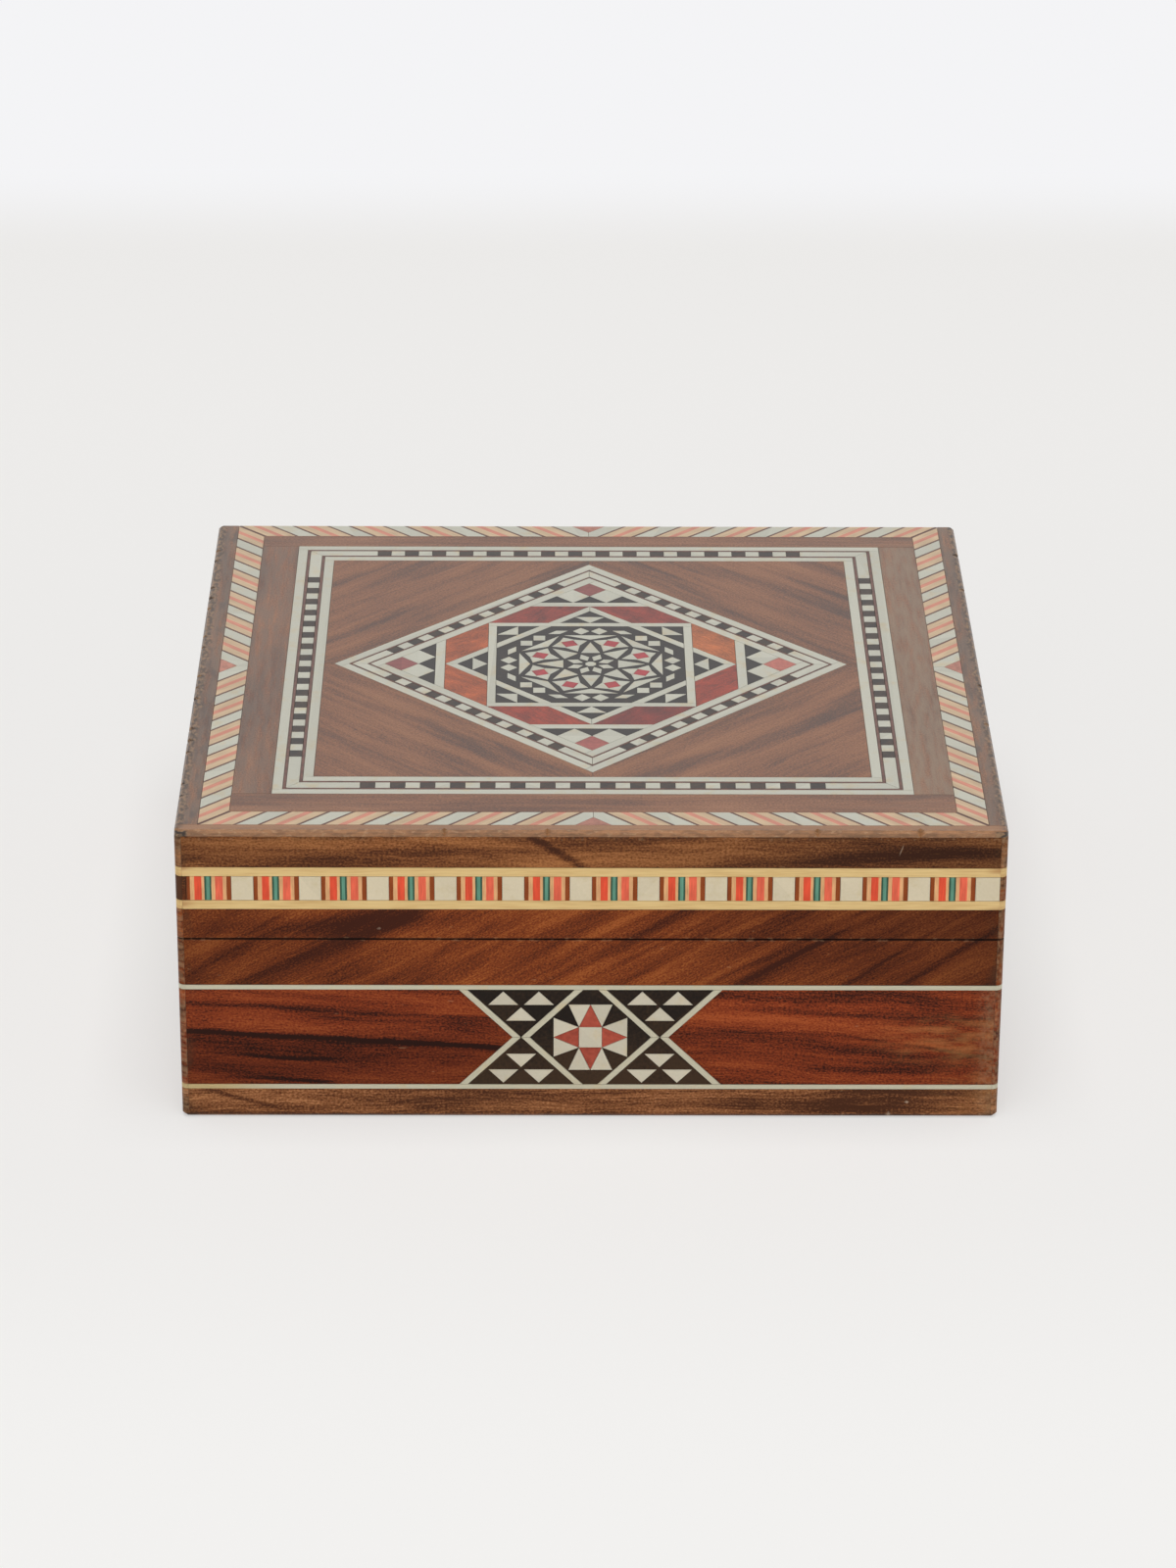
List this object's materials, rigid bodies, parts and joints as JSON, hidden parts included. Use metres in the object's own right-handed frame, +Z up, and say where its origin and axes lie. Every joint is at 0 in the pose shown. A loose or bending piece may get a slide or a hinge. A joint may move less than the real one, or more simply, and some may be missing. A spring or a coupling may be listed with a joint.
{
  "type": "keepsake box",
  "caption": "Square wooden keepsake box with a hinged lid, velvet lining, and walnut veneer inlaid with a geometric star, checks, a rope border and a striped band.",
  "frame": {"origin": "middle of the underside of the box, on the table", "axes": "+X to the right along the front, +Y to the back where the hinges are, +Z up"},
  "size_m": [0.1, 0.096, 0.039],
  "materials": {
    "core_wood": "bare softwood",
    "walnut": "satin varnish",
    "brown_wood": "satin varnish",
    "bone_white": "satin varnish",
    "black_wood": "satin varnish",
    "red_wood": "satin varnish",
    "dyed_red": "satin varnish",
    "cream_wood": "satin varnish",
    "striped_wood": "satin varnish",
    "velvet": "short pile",
    "brass": "lightly tarnished"
  },
  "bodies": {
    "base": {"base_back_veneer": "walnut", "base_back_wall": "core_wood", "base_bottom_panel": "core_wood", "base_floor_lining": "velvet", "base_front_veneer": "walnut", "base_front_wall": "core_wood", "base_left_veneer": "walnut", "base_left_wall": "core_wood", "base_motif_black": "black_wood", "base_motif_bone": "bone_white", "base_motif_lines": "bone_white", "base_motif_red": "dyed_red", "base_right_veneer": "walnut", "base_right_wall": "core_wood", "base_stringing": "bone_white", "base_wall_lining": "velvet", "hinge_left_base_leaf": "brass", "hinge_left_pin": "brass", "hinge_right_base_leaf": "brass", "hinge_right_pin": "brass"},
    "lid": {"hinge_left_lid_leaf": "brass", "hinge_right_lid_leaf": "brass", "lid_back_veneer": "walnut", "lid_back_wall": "core_wood", "lid_band_bone_blocks": "bone_white", "lid_band_edging": "cream_wood", "lid_band_striped_blocks": "striped_wood", "lid_border": "walnut", "lid_ceiling_lining": "velvet", "lid_checks_black": "black_wood", "lid_checks_bone": "bone_white", "lid_diamond_lines": "bone_white", "lid_field_veneer": "walnut", "lid_frame_lines": "bone_white", "lid_front_veneer": "walnut", "lid_front_wall": "core_wood", "lid_hairlines": "brown_wood", "lid_inner_border": "walnut", "lid_left_veneer": "walnut", "lid_left_wall": "core_wood", "lid_right_veneer": "walnut", "lid_right_wall": "core_wood", "lid_rope_bone_slips": "bone_white", "lid_rope_striped_slips": "striped_wood", "lid_rope_triangles": "dyed_red", "lid_star_black": "black_wood", "lid_star_bone": "bone_white", "lid_star_lines": "bone_white", "lid_star_lozenges": "red_wood", "lid_star_red": "dyed_red", "lid_top_panel": "core_wood", "lid_wall_lining": "velvet"}
  },
  "joints": [
    {"name": "lid_hinge", "type": "hinge", "parent": "base", "child": "lid", "pos_m": [0, 0.0467, 0.0245], "axis": [-1, 0, 0], "range_deg": [0, 102]}
  ]
}
